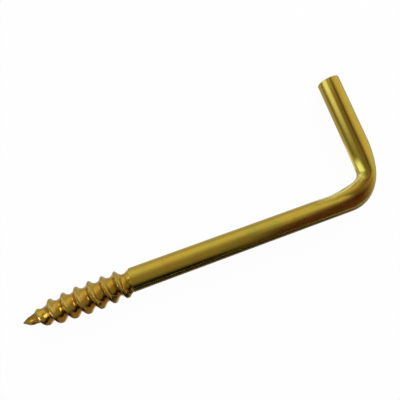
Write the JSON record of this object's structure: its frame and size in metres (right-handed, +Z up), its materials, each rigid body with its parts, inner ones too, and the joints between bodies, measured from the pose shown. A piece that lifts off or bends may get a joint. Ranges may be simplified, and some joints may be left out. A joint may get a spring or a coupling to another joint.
{
  "type": "square hook",
  "caption": "Square screw hook: a straight wire shank with a short arm bent at a right angle and a tapered wood thread with a gimlet point.",
  "frame": {"origin": "on the shank's axis at the shoulder, where the thread's flare meets the plain wire", "axes": "+X along the shank from the point towards the bend, +Y along the arm from the shank towards its cut end, +Z up, square to the plane of the hook, which lies flat"},
  "size_m": [0.05, 0.0195, 0.0038],
  "materials": {
    "plated_wire": "drawn steel wire with a thin bright yellow brass-coloured plating"
  },
  "bodies": {
    "root": {"square_hook": "plated_wire"}
  },
  "joints": []
}
